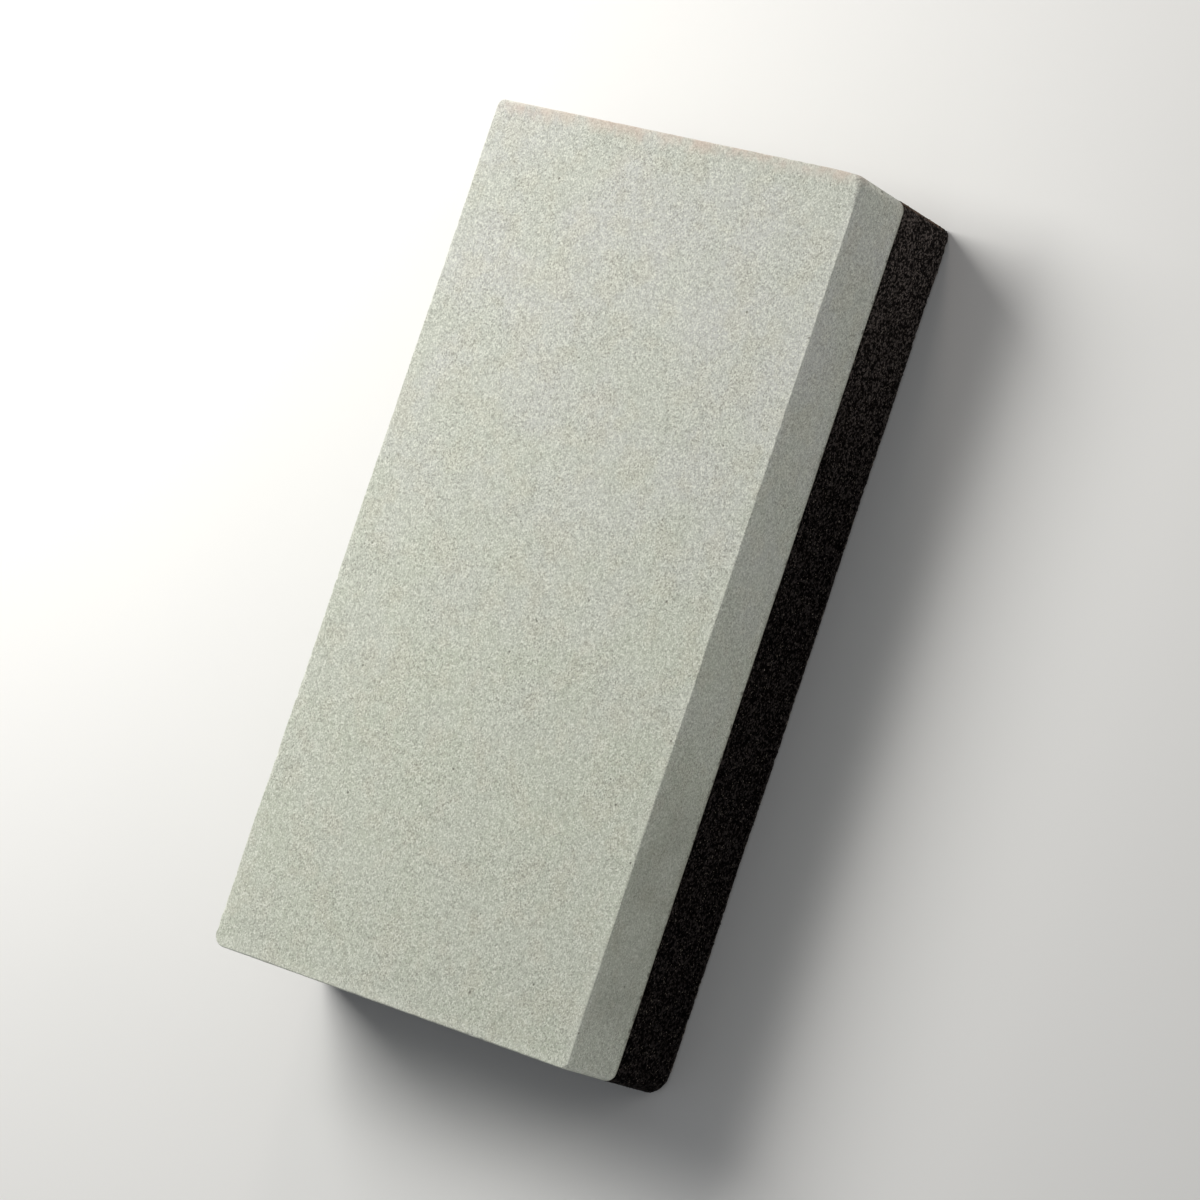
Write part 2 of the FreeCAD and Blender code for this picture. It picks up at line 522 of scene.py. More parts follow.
def pale_border(place, x, y, z):
    """Ragged paler border of the fine working face, where the left-hand end is rubbed."""
    gap = calculate(place.id_data, "MINIMUM", FINE_HIGH.x - abs(x), FINE_HIGH.y - abs(y))
    ragged = noise_value(place, size=2.2 * MM, detail=4.0) * (3.2 * MM) + gap
    border = ragged.ramp(3.4 * MM, 1.9 * MM, 0.0, 0.2)
    on_face = z.ramp(FINE_HIGH.z - 0.5 * MM, FINE_HIGH.z - 0.1 * MM)
    at_places = noise_value(place, size=13 * MM).ramp(0.45, 0.6, 0.0, 0.8)
    return border * on_face * x.ramp(-24 * MM, -46 * MM).or_more(at_places)


def side_darkening(patches, x, y):
    """Darker patches on the fine slab's long side, toward the left-hand end."""
    on_side = y.ramp(FINE_LOW.y + 0.5 * MM, FINE_LOW.y + 0.1 * MM)
    along = x.ramp(-12 * MM, -26 * MM) * x.ramp(-47 * MM, -42 * MM)
    return on_side * along * patches.ramp(0.0, 1.0, 0.16, 0.40)


def painted_end_rim_light(place, hints, x, z):
    """Painted warm rim light: a ragged warm band along the fine slab's right-hand end, strongest near
    the working face.
    """
    start = FINE_HIGH.x - 1.0 * MM
    ragged = noise_value(place, size=1.8 * MM, detail=4.0) * (2.2 * MM) + x
    near_face = z.ramp(FINE_HIGH.z - 2.6 * MM, FINE_HIGH.z - 0.6 * MM, 0.15, 1.0)
    return ragged.ramp(start, start + 2.4 * MM) * hints.ramp(0.0, 0.8, 0.12, 0.6) * near_face


def fine_grit_material(settings):
    """Pale grey-green abrasive: peppered grain, soft patches, pores and rubbed edges."""
    material, place = new_material("Fine Grit", diffuse_roughness=0.6, specular_level=0.25)
    x, y, z = split_vector(place)
    near_edge = attribute(place, "edge_nearness")
    grain = packed_grains(place, settings.grain_size)
    clumps = packed_grains(place, settings.grain_size * CLUMP_SIZE)
    patches = soft_patches(place, size=9 * MM, edge=0.15)
    pepper = soft_patches(place, size=7 * MM, edge=0.25)
    hints = soft_patches(place, size=3.5 * MM, edge=0.2)
    pores = scattered_pores(place, spacing=2.0 * MM, radius=0.20 * MM, pore_share=0.36)
    # Painted shade: dark spots along the arris stand in for the shadows of crumbs missing from the
    # edge.
    crumb_shade_spots = scattered_pores(place, spacing=1.5 * MM, radius=0.26 * MM, pore_share=0.4)
    wear = rubbed_edges(place, near_edge, raggedness=0.7, size=0.9 * MM)

    lilac = patches * x.ramp(-35 * MM, 15 * MM, 0.22, 0.5) + x.ramp(-20 * MM, 35 * MM, 0.0, 0.5)
    dark_grain = grain["Tone"].ramp(0.36, 0.02) * pepper.ramp(0.0, 1.0, 0.42, 0.62)
    bond_height = FINE_LOW.z
    # Painted shade: a ragged darker band just above the bond, where shade falls between the slabs.
    ragged_height = noise_value(place, size=2.5 * MM) * (-0.5 * MM) + z
    bond_shade = ragged_height.ramp(bond_height + 0.5 * MM, bond_height - 0.4 * MM) * 0.5
    beside_bond = z.ramp(bond_height + 0.65 * MM, bond_height + 0.15 * MM)
    # Painted shade: small dark notches beside the bond, standing in for the shadows of missing crumbs.
    notch_shade = noise_value(place, size=0.7 * MM).ramp(0.56, 0.66, 0.0, 0.8) * beside_bond
    rubbed = (wear * patches.ramp(0.2, 0.9, 0.05, 0.3)).or_more(pale_border(place, x, y, z))
    rubbed = rubbed.or_more(attribute(place, "fresh_break") * 0.85)
    # Pores, and the painted shade of missing crumbs along the arris, both painted dark.
    pores_and_crumb_shade = pores.or_more(crumb_shade_spots * near_edge.ramp(0.45, 0.8))
    tint = paint(
        place.id_data, settings.base_colour,
        (lilac, settings.lilac_colour),
        (hints.ramp(0.4, 1.0) * 0.35, settings.warm_colour),
        (dark_grain, settings.speck_colour),
        (grain["Tone"].ramp(0.55, 0.98) * 0.85, settings.pale_colour),
        (clumps["Tone"].ramp(0.20, 0.02) * 0.20, settings.speck_colour),
        (bond_shade, settings.bond_stain),
        (notch_shade, settings.notch_shade_colour),
        (painted_end_rim_light(place, hints, x, z), settings.end_rim_light_colour),
        (side_darkening(pepper, x, y), settings.side_dark_colour),
        (rubbed, settings.pale_colour),
        (pores_and_crumb_shade * 0.8, settings.speck_colour))
    roughness = grain["Tone"].ramp(0.0, 1.0, 0.95, 0.78)
    height = clumps["Height"] * 0.8 + (pores * -2.5 + grain["Height"])
    return finish_material(material, tint, roughness, height, depth=0.028 * MM)


def coarse_grit_material(settings):
    """Black-brown abrasive: glassy binder, dull grains, a few grains painted pale as glints, and
    painted highlights along the edges.
    """
    material, place = new_material("Coarse Grit", diffuse_roughness=0.6, specular_level=0.008)
    x, _y, z = split_vector(place)
    near_edge = attribute(place, "edge_nearness")
    grain = packed_grains(place, settings.grain_size)
    fines = packed_grains(place, settings.grain_size * FINES_SIZE)
    pores = scattered_pores(place, spacing=1.1 * MM, radius=0.30 * MM, pore_share=0.5)
    near_face = z.ramp(COARSE_LOW.z + 1.3 * MM, COARSE_LOW.z + 0.4 * MM)
    at_end = x.ramp(COARSE_HIGH.x - 0.6 * MM, COARSE_HIGH.x - 0.05 * MM)
    rubbed = rubbed_edges(place, near_edge, raggedness=0.9, size=0.7 * MM) * near_face

    dull_grain = grain["Tone"].ramp(0.50, 1.0) * x.ramp(-5 * MM, -45 * MM, 0.92, 0.72)
    dusty = x.ramp(COARSE_HIGH.x - settings.dust_reach, COARSE_HIGH.x)
    dusty = dusty * at_end.ramp(0.0, 1.0, 1.0, 0.45)
    dusty_grain = grain["Tone"].ramp(0.45, 0.98, 0.06, 1.0) * fines["Tone"].ramp(0.1, 0.7, 0.45, 1.15)
    # Painted glints: a few grains, more of them near rubbed edges, painted pale where the crystals
    # sparkle.
    grain_glints = (rubbed * 0.035 + fines["Tone"]).ramp(0.970, 0.999) * 0.65
    # Painted highlight: pale dots along the lower arris stand in for the arris catching the light.
    pale_edge_marks = noise_value(place, size=0.5 * MM).ramp(0.54, 0.63, 0.0, 0.8) * near_edge.ramp(0.5, 0.85)
    # Painted highlight: ragged warm marks on the right-hand end's edges stand in for a warm rim
    # highlight from the lamp beyond that end.
    rim_highlight = noise_value(place, size=1.3 * MM, detail=3.0).ramp(0.42, 0.6)
    rim_highlight = rim_highlight * near_edge.ramp(0.3, 0.8, 0.0, 0.55)
    above_face = z.ramp(COARSE_LOW.z + 0.4 * MM, COARSE_LOW.z + 1.8 * MM)
    tint = paint(
        place.id_data, settings.binder_colour,
        (soft_patches(place, size=6 * MM, edge=0.25), settings.brown_colour),
        (dull_grain, settings.grain_colour),
        (dusty * dusty_grain, settings.dust_colour),
        (grain_glints, settings.glint_colour),
        (rubbed * 0.45, settings.grain_colour),
        (pale_edge_marks * near_face, settings.glint_colour),
        (rim_highlight * at_end * above_face, settings.rim_highlight_colour),
        (pores * 0.8, settings.binder_colour))
    roughness = fines["Tone"].ramp(0.0, 1.0, 0.92, 0.5)
    height = fines["Height"] * 0.6 + (pores * -1.6 + grain["Height"])
    return finish_material(material, tint, roughness, height, depth=0.07 * MM)


def bond_film_material(settings):
    """Set adhesive: dark resin with pale dust caught on it."""
    material, place = new_material("Bond Resin", diffuse_roughness=0.2, specular_level=0.4)
    grain = packed_grains(place, 0.12 * MM)
    dusty = soft_patches(place, size=0.9 * MM, edge=0.12) * grain["Tone"].ramp(0.2, 0.9)
    tint = paint(place.id_data, settings.resin_colour, (dusty, settings.dust_colour))
    roughness = dusty.ramp(0.0, 1.0, 0.42, 0.9)
    return finish_material(material, tint, roughness, grain["Height"], depth=0.015 * MM)


def crystal_material(settings):
    """Dark glassy crystals, a few of them painted pale as glints."""
    material, place = new_material("Grit Crystal", diffuse_roughness=0.3, specular_level=0.2)
    tone = attribute(place, "crystal_tone")
    cloudy = noise_value(place, size=0.1 * MM)
    # Painted glints: a few crystals painted pale where they would sparkle.
    glinting = tone.ramp(0.965, 0.99) * cloudy.ramp(0.2, 0.7, 0.4, 1.0)
    tint = paint(place.id_data, settings.dull_colour, (glinting, settings.glint_crystal_colour))
    roughness = tone.ramp(0.0, 1.0, 0.7, 0.38)
    return finish_material(material, tint, roughness, cloudy, depth=0.01 * MM)


def floor_material(settings):
    """Plain pale floor with a barely uneven tone."""
    material, place = new_material("Studio Floor", diffuse_roughness=0.3, specular_level=0.2)
    patches = soft_patches(place, size=0.12, edge=0.4)
    shade = [FLOOR_SHADE * channel for channel in settings.floor_colour]
    shader = material.node_tree.nodes["Principled BSDF"].inputs
    link(paint(place.id_data, settings.floor_colour, (patches, shade)), shader["Base Color"])
    shader["Roughness"].default_value = 0.8
    arrange(material.node_tree)
    return material


# Geometry node trees

# Added to the crystals' seed, so that no two random values match.
TURN_SEED, TONE_SEED = 3, 5
PART_SEEDS = (11, 23, 37)
CRYSTAL_STRETCH = (0.65, 1.25)
CRYSTAL_DENT_SIZE, CRYSTAL_DENT_DEPTH = 0.7, 1.4  # in crystal radii


def read_attribute(tree, name):
    node = add_node(tree, "GeometryNodeInputNamedAttribute", {"Name": name}, data_type="FLOAT")
    return Number(node.outputs["Attribute"])


def read_field(tree, name):
    """The position or the normal of each point."""
    return add_node(tree, "GeometryNodeInput" + name).outputs[name]


def change_geometry(kind, geometry, inputs, **settings):
    """Pass a geometry through a node of some kind."""
    node = add_node(geometry.id_data, "GeometryNode" + kind, {0: geometry, **inputs}, **settings)
    return node.outputs[0]


def new_geometry_tree(name, numbers):
    """A tree that reads a geometry, some numbers and a material, and puts out a geometry."""
    inputs = [("Geometry", "Geometry"), *numbers, ("Material", "Material")]
    return new_group(name, "GeometryNodeTree", inputs, [("Geometry", "Geometry")])


def end_geometry_tree(geometry, given, wanted):
    link(change_geometry("SetMaterial", geometry, {"Material": given["Material"]}), wanted["Geometry"])
    arrange(geometry.id_data)


def build_relief_tree(name):
    """Uneven abrasive surface: broad waves and coarse grain along the normals, none at the bond."""
    tree, given, wanted = new_geometry_tree(name, [
        ("Float", "Wave Height", 0.04 * MM), ("Float", "Wave Size", 14 * MM),
        ("Float", "Grain Height", 0.02 * MM), ("Float", "Relief Grain Size", 0.8 * MM),
        ("Float", "Crumb Depth", 0.1 * MM), ("Float", "Crumb Size", 0.8 * MM)])
    place = read_field(tree, "Position")
    waves = noise_value(place, given["Wave Size"]) - 0.5
    grain = noise_value(place, given["Relief Grain Size"], detail=3.0) - 0.5
    crumbs = noise_value(place, given["Crumb Size"], detail=3.0, roughness=0.6).ramp(0.45, 0.75)
    crumble = crumbs * read_attribute(tree, "edge_nearness") * given["Crumb Depth"]
    height = grain * given["Grain Height"] + waves * given["Wave Height"] - crumble
    height = height * read_attribute(tree, "open_air")

    offset = scale_vector(read_field(tree, "Normal"), height)
    moved = change_geometry("SetPosition", given["Geometry"], {"Offset": offset})
    end_geometry_tree(change_geometry("RealizeInstances", moved, {}), given, wanted)


def random_between(tree, low, high, seed):
    inputs = {RANDOM_LOW: low, RANDOM_HIGH: high, RANDOM_SEED: seed}
    node = add_node(tree, "FunctionNodeRandomValue", inputs, data_type="FLOAT")
    return Number(node.outputs[RANDOM_RESULT])


def random_vector(tree, low, high, seed):
    """Three random values, each from low to high."""
    parts = [random_between(tree, low, high, seed + step) for step in PART_SEEDS]
    return add_node(tree, "ShaderNodeCombineXYZ", dict(enumerate(parts))).outputs[0]


def build_exposed_grit_tree(name):
    """Angular crystals scattered over the open surface, partly sunk into it."""
    tree, given, wanted = new_geometry_tree(name, [
        ("Float", "Spacing", 0.6 * MM), ("Float", "Smallest", 0.1 * MM), ("Float", "Largest", 0.2 * MM),
        ("Float", "Sink", 0.4), ("Float", "Face Share", 0.3), ("Int", "Seed", 1)])
    seed = given["Seed"]
    upright = split_vector(read_field(tree, "Normal"))[2]
    crowding = (1.0 - abs(upright)).or_more(read_attribute(tree, "edge_nearness"))
    crowding = crowding.ramp(0.0, 1.0, given["Face Share"], 1.0)
    points = add_node(tree, "GeometryNodeDistributePointsOnFaces", {
        "Mesh": given["Geometry"], "Distance Min": given["Spacing"],
        "Density Max": 1.0 / (given["Spacing"] * given["Spacing"]),
        "Density Factor": crowding * read_attribute(tree, "open_air"),
        "Seed": seed,
    }, distribute_method="POISSON").outputs
    size = random_between(tree, given["Smallest"], given["Largest"], seed)
    sunk = scale_vector(points["Normal"], size * given["Sink"] * -1.0)
    lowered = change_geometry("SetPosition", points["Points"], {"Offset": sunk})
    tone = random_between(tree, 0.0, 1.0, seed + TONE_SEED)
    toned = change_geometry(
        "StoreNamedAttribute", lowered, {"Name": "crystal_tone", "Value": tone},
        data_type="FLOAT", domain="POINT")

    round_ball = {"Radius": 1.0, "Subdivisions": 1}
    ball = add_node(tree, "GeometryNodeMeshIcoSphere", round_ball).outputs["Mesh"]
    corner = read_field(tree, "Position")
    dent = (noise_value(corner, CRYSTAL_DENT_SIZE) - 0.5) * CRYSTAL_DENT_DEPTH
    crystal = change_geometry("SetPosition", ball, {"Offset": scale_vector(corner, dent)})
    stretch = random_vector(tree, *CRYSTAL_STRETCH, seed)
    placed = change_geometry("InstanceOnPoints", toned, {
        "Instance": crystal, "Rotation": random_vector(tree, 0.0, math.tau, seed + TURN_SEED),
        "Scale": scale_vector(stretch, size)})
    real = change_geometry("RealizeInstances", placed, {})
    end_geometry_tree(change_geometry("SetShadeSmooth", real, {"Shade Smooth": False}), given, wanted)


GEOMETRY_TREE_BUILDERS = {
    "Abrasive Relief": build_relief_tree,
    "Exposed Grit": build_exposed_grit_tree,
}


def finish_with_nodes(piece, tree_name, settings, material):
    """Run a geometry tree on a piece and keep the result as its plain mesh.

    Each input takes the setting of its name, and keeps its own default if there is none.
    """
    if tree_name not in bpy.data.node_groups:
        GEOMETRY_TREE_BUILDERS[tree_name](tree_name)
    tree = bpy.data.node_groups[tree_name]
    modifier = piece.modifiers.new(tree_name, "NODES")
    modifier.node_group = tree
    for item in tree.interface.items_tree:
        setting = item.name.lower().replace(" ", "_")
        if item.name == "Material":
            modifier[item.identifier] = material
        elif hasattr(settings, setting):
            modifier[item.identifier] = getattr(settings, setting)
    graph = bpy.context.evaluated_depsgraph_get()
    made = bpy.data.meshes.new_from_object(
        piece.evaluated_get(graph), preserve_all_data_layers=True, depsgraph=graph)
    piece.modifiers.remove(modifier)
    made.materials.clear()
    made.materials.append(material)
    base = piece.data
    piece.data = made
    bpy.data.meshes.remove(base)
    made.name = piece.name


# Slabs

ARRIS_STEPS = 5  # rows of faces across a rounded edge
GAP_GROWTH = 1.3  # how fast the rows widen away from it
ARRIS_WAVE = 7 * MM  # distance over which the rounding varies
BOND_EDGE = 0.10 * MM  # rounding where a side meets the bond
BOND_RINGS = (0.15 * MM, 0.5 * MM)  # insets of the extra rings at the bond
EDGE_FALLOFF = 0.55 * MM  # distance over which nearness to an edge fades
BITE_RADII = (0.3, 1.1)  # smallest and largest chip, in mm
BITE_DEPTHS = (0.3, 1.0)  # a chip's depth, as a share of the deepest, before the next power
BITE_RARITY = 1.5  # the power that makes deep chips rarer
FRESH_DEPTH = 0.08 * MM  # a chip this deep is wholly freshly broken
PIT_SHARES = (0.45, 1.0)  # a pore's radius, as a share of the largest
PIT_DEPTHS = (0.8, 1.6)  # its depth, as a share of its radius
PIT_FLOOR = 0.6  # the radius of its floor, as a share of its rim's
PIT_HOLLOW = 1.15  # the depth of its middle, as a share of its floor's
PIT_ROOM = 0.9  # the largest radius, as a share of the shortest edge round it
PIT_EDGE_LIMIT = 0.3  # nearness to an edge beyond which there are no pores


def edge_to_middle(half, rounding, step):
    """Distances from an edge to the middle: even on the rounding, then growing to the full step."""
    gap = rounding / ARRIS_STEPS
    places = [gap * count for count in range(ARRIS_STEPS + 1)]
    while places[-1] < half:
        gap = min(gap * GAP_GROWTH, step)
        places.append(places[-1] + gap)
    stretch = (half - rounding) / (places[-1] - rounding)
    return [place if place <= rounding else rounding + (place - rounding) * stretch
            for place in places]


def edge_to_edge(span, near_rounding, far_rounding, step):
    """Distances from one edge to the other, closer together near both."""
    near = edge_to_middle(span / 2, near_rounding, step)
    far = edge_to_middle(span / 2, far_rounding, step)
    return near + [span - place for place in reversed(far[:-1])]


def corner_core(x, y, half_length, half_width, radius):
    """The nearest point from which a round-cornered plan's outline is one radius away."""
    return (max(radius - half_length, min(half_length - radius, x)),
            max(radius - half_width, min(half_width - radius, y)))


class SlabForm:
    """Where each point of a slab lies. Depth runs from the working face to the bond."""

    def __init__(self, low, high, face_up, settings):
        self.half_length = (high.x - low.x) / 2 + settings.proud
        self.half_width = (high.y - low.y) / 2 + settings.proud
        self.thickness = high.z - low.z
        self.face_height = high.z if face_up else low.z
        self.down = -1 if face_up else 1
        self.face_up = face_up
        self.settings = settings

    def corner_radius(self, x, y, depth):
        corner = CORNER_SIGNS.index((1 if x >= 0 else -1, 1 if y >= 0 else -1))
        at_face = self.settings.face_corners[corner]
        at_bond = self.settings.bond_corners[corner]
        return at_face + (at_bond - at_face) * min(1.0, depth / self.thickness)

    def arris_radius(self, x, y):
        """The face's edge rounding, uneven along the edge and larger at the most worn corner."""
        place = Vector((x, y, self.face_height)) / ARRIS_WAVE
        uneven = 1 + self.settings.arris_unevenness * 2 * noise.noise(place)
        end, side = CORNER_SIGNS[self.settings.worn_corner]
        away = math.hypot(x - end * self.half_length, y - side * self.half_width)
        away /= self.settings.worn_reach
        return self.settings.arris * uneven + self.settings.worn_extra * math.exp(-away * away)

    def point(self, x, y, inset, depth):
        height = self.face_height + self.down * depth
        radius = self.corner_radius(x, y, depth)
        core_x, core_y = corner_core(x, y, self.half_length, self.half_width, radius)
        reach = math.hypot(x - core_x, y - core_y)
        if reach == 0:
            return x, y, height
        stretch = (radius - inset) / reach
        return core_x + (x - core_x) * stretch, core_y + (y - core_y) * stretch, height

    def arris_point(self, x, y, turn, radius):
        """A point on the rounding: turn is 1 where it meets the face and -1 where it meets the side."""
        tilt = (1 - turn) * math.pi / 4
        return self.point(x, y, radius * (1 - math.sin(tilt)), radius * (1 - math.cos(tilt)))

    def face_point(self, x, y):
        inset = min(self.half_length - abs(x), self.half_width - abs(y))
        radius = self.arris_radius(x, y)
        if inset < radius:
            return self.arris_point(x, y, inset / radius, radius)
        return self.point(x, y, inset, 0.0)

    def side_point(self, x, y, depth):
        radius = self.arris_radius(x, y)
        if depth < radius:
            return self.arris_point(x, y, -depth / radius, radius)
        past = (depth - self.thickness + BOND_EDGE) / BOND_EDGE
        if past <= 0:
            return self.point(x, y, 0.0, depth)
        tilt = past * math.pi / 2
        edge_depth = self.thickness - BOND_EDGE * (1 - math.sin(tilt))
        return self.point(x, y, BOND_EDGE * (1 - math.cos(tilt)), edge_depth)

    def nearness(self, x, y, depth):
        """1 at the edges of the working face and at the upright corners, falling away from them."""
        gaps = sorted((self.half_length - abs(x), self.half_width - abs(y), depth))
        return math.exp(-max(0.0, gaps[1] - self.settings.arris / 2) / EDGE_FALLOFF)


def outline_places(columns, rows):
    """Grid places round the edge of a face, anticlockwise from above."""
    front = [(column, 0) for column in range(columns)]
    right = [(columns, row) for row in range(rows)]
    back = [(columns - column, rows) for column in range(columns)]
    left = [(0, rows - row) for row in range(rows)]
    return front + right + back + left


def make_slab_mesh(name, form):
    """Closed mesh of a slab: gridded face and sides, and a plain underside at the bond."""
    arris, step = form.settings.arris, form.settings.step
    xs = [gap - form.half_length for gap in edge_to_edge(form.half_length * 2, arris, arris, step)]
    ys = [gap - form.half_width for gap in edge_to_edge(form.half_width * 2, arris, arris, step)]
    depths = edge_to_edge(form.thickness, arris, BOND_EDGE, step)
    points, nearness, open_air, faces = [], [], [], []

    def add_point(place, near, in_air):
        points.append(place)
        nearness.append(near)
        open_air.append(in_air)
        return len(points) - 1

    grid = [[add_point(form.face_point(x, y), form.nearness(x, y, 0.0), 1.0) for y in ys] for x in xs]
    for column in range(len(xs) - 1):
        for row in range(len(ys) - 1):
            faces.append((grid[column][row], grid[column + 1][row],
                          grid[column + 1][row + 1], grid[column][row + 1]))

    outline = outline_places(len(xs) - 1, len(ys) - 1)
    ring = [grid[column][row] for column, row in outline]
    edge_plan = [(xs[column], ys[row]) for column, row in outline]

    def add_ring(place_of, near_of, in_air):
        nonlocal ring
        below = [add_point(place_of(x, y), near_of(x, y), in_air) for x, y in edge_plan]
        for index, corner in enumerate(ring):
            following = (index + 1) % len(ring)
            faces.append((corner, below[index], below[following], ring[following]))
        ring = below

    for depth in depths[1:]:
        in_air = min(1.0, (form.thickness - depth) / (BOND_EDGE * 2))
        add_ring(lambda x, y: form.side_point(x, y, depth),
                 lambda x, y: form.nearness(x, y, depth), in_air)
    for inset in BOND_RINGS:
        add_ring(lambda x, y: form.point(x, y, inset, form.thickness), lambda x, y: 0.0, 0.0)
    faces.append(tuple(reversed(ring)))
    if not form.face_up:
        faces = [tuple(reversed(face)) for face in faces]

    mesh = bpy.data.meshes.new(name)
    mesh.from_pydata(points, [], faces)
    for label, values in (("edge_nearness", nearness), ("open_air", open_air)):
        mesh.attributes.new(label, "FLOAT", "POINT").data.foreach_set("value", values)
    return mesh


def edge_bites(form, chance):
    """Shallow scoops along the edges of the working face: (centre, radius) of a ball for each."""
    settings = form.settings
    for _ in range(settings.bites):
        along = chance.uniform(-1, 1)
        if chance.random() < form.half_length / (form.half_length + form.half_width):
            outward = Vector((0, chance.choice((-1, 1)), 0))
            place = Vector((along * form.half_length, outward.y * form.half_width, 0))
        else:
            outward = Vector((chance.choice((-1, 1)), 0, 0))
            place = Vector((outward.x * form.half_length, along * form.half_width, 0))
        outward.z = -form.down
        radius = chance.uniform(*BITE_RADII) * MM
        depth = settings.bite_depth * chance.uniform(*BITE_DEPTHS) ** BITE_RARITY
        rounding = form.arris_radius(place.x, place.y)
        place.z = form.face_height
        surface = place - outward * rounding * (1 - math.sqrt(0.5))
        yield surface + outward.normalized() * (radius - depth), radius


def carve_bites(mesh, bites):
    """Push the points inside each ball out to its surface, and mark how freshly broken they are."""
    places = np.empty(len(mesh.vertices) * 3)
    mesh.vertices.foreach_get("co", places)
    places = places.reshape(-1, 3)
    pale_edge_marks = np.zeros(len(places))
    for centre, radius in bites:
        arrow = places - np.array(centre)
        distance = np.linalg.norm(arrow, axis=1)
        inside = distance < radius
        fresh = np.minimum(1.0, (radius - distance[inside]) / FRESH_DEPTH)
        pale_edge_marks[inside] = np.maximum(pale_edge_marks[inside], fresh)
        places[inside] = np.array(centre) + arrow[inside] * (radius / distance[inside])[:, None]
    mesh.vertices.foreach_set("co", places.ravel())
    mesh.attributes.new("fresh_break", "FLOAT", "POINT").data.foreach_set("value", pale_edge_marks)


def ring_round(point):
    """The eight points round an inner point of a grid, in order."""
    ring = []
    loop = point.link_loops[0]
    for _ in range(len(point.link_loops)):
        ring.append(loop.link_loop_next.vert)
        ring.append(loop.link_loop_next.link_loop_next.vert)
        loop = loop.link_loop_prev.link_loop_radial_next
    return ring


def sink_pit(grid, point, radius, depth, layers):
    """Replace the four faces round a grid point with a small open pore."""
    centre, normal = point.co.copy(), point.normal.copy()
    values = [point[layer] for layer in layers]
    outer = ring_round(point)
    bmesh.ops.delete(grid, geom=[point], context="VERTS")

    def add_point(place):
        added = grid.verts.new(place)
        for layer, value in zip(layers, values):
            added[layer] = value
        return added

    arrows = [(corner.co - centre).normalized() for corner in outer]
    rim = [add_point(centre + arrow * radius) for arrow in arrows]
    wall = [add_point(centre + arrow * radius * PIT_FLOOR - normal * depth) for arrow in arrows]
    bottom = add_point(centre - normal * depth * PIT_HOLLOW)
    for index in range(len(outer)):
        following = (index + 1) % len(outer)
        grid.faces.new((outer[index], outer[following], rim[following], rim[index]))
        grid.faces.new((rim[index], rim[following], wall[following], wall[index]))
        grid.faces.new((wall[index], wall[following], bottom))


def sink_pits(mesh, count, largest, chance):
    """Sink pores at random points of the gridded surface, clear of the edges and of each other."""
    grid = bmesh.new()
    grid.from_mesh(mesh)
    grid.normal_update()
    near = grid.verts.layers.float["edge_nearness"]
    air = grid.verts.layers.float["open_air"]
    whole = [point for point in grid.verts
             if point[near] < PIT_EDGE_LIMIT and point[air] == 1.0 and len(point.link_faces) == 4]
    taken, chosen = set(), []
    while len(chosen) < count:
        point = chance.choice(whole)
        around = {point, *ring_round(point)}
        if not around & taken:
            taken |= around
            chosen.append(point)
    for point in chosen:
        room = min(edge.calc_length() for edge in point.link_edges) * PIT_ROOM
        radius = min(room, largest * chance.uniform(*PIT_SHARES))
        sink_pit(grid, point, radius, radius * chance.uniform(*PIT_DEPTHS), (near, air))
    grid.to_mesh(mesh)
    grid.free()


def make_slab(name, form, material, seed, extra_bites=()):
    """A finished slab: formed, chipped, pored, then given its relief."""
    chance = random.Random(seed)
    mesh = make_slab_mesh(name, form)
    carve_bites(mesh, [*edge_bites(form, chance), *extra_bites])
    sink_pits(mesh, form.settings.pits, form.settings.pit_radius, chance)
    mesh.shade_smooth()
    piece = bpy.data.objects.new(name, mesh)
    bpy.context.scene.collection.objects.link(piece)
    finish_with_nodes(piece, "Abrasive Relief", form.settings, material)
    return piece


# Bond film

FILM_CORNER = 1.4 * MM
FILM_LEVELS = 5  # rings of points from the film's underside to its top
FILM_WAVE = 2.5 * MM  # distance over which its edge wanders


def make_film_mesh(name, settings):
    """Closed sheet whose bulging edge wanders a little inside the slabs' outline."""
    half_length = (FINE_HIGH.x - FINE_LOW.x) / 2
    half_width = (FINE_HIGH.y - FINE_LOW.y) / 2
    xs = edge_to_edge(half_length * 2, FILM_CORNER, FILM_CORNER, settings.step)
    ys = edge_to_edge(half_width * 2, FILM_CORNER, FILM_CORNER, settings.step)
    outline = outline_places(len(xs) - 1, len(ys) - 1)
    edge_plan = [(xs[column] - half_length, ys[row] - half_width) for column, row in outline]
    mesh = bmesh.new()
    rings = []
    for level in range(FILM_LEVELS):
        rise = level / (FILM_LEVELS - 1)
        height = FILM_LOW.z + (FILM_HIGH.z - FILM_LOW.z) * rise
        ring = []
        for x, y in edge_plan:
            wander = noise.noise(Vector((x, y, 0)) / FILM_WAVE) * settings.wander
            inset = settings.inset + wander - settings.bulge * math.sin(rise * math.pi)
            core_x, core_y = corner_core(x, y, half_length, half_width, FILM_CORNER)
            arrow = Vector((x - core_x, y - core_y)).normalized() * (FILM_CORNER - inset)
            ring.append(mesh.verts.new((core_x + arrow.x, core_y + arrow.y, height)))
        rings.append(ring)
    for lower, upper in zip(rings, rings[1:]):
        for index in range(len(lower)):
            following = (index + 1) % len(lower)
            mesh.faces.new((lower[index], lower[following], upper[following], upper[index]))
    mesh.faces.new(rings[-1])
    mesh.faces.new(reversed(rings[0]))
    data = bpy.data.meshes.new(name)
    mesh.to_mesh(data)
    mesh.free()
    return data


# Operators

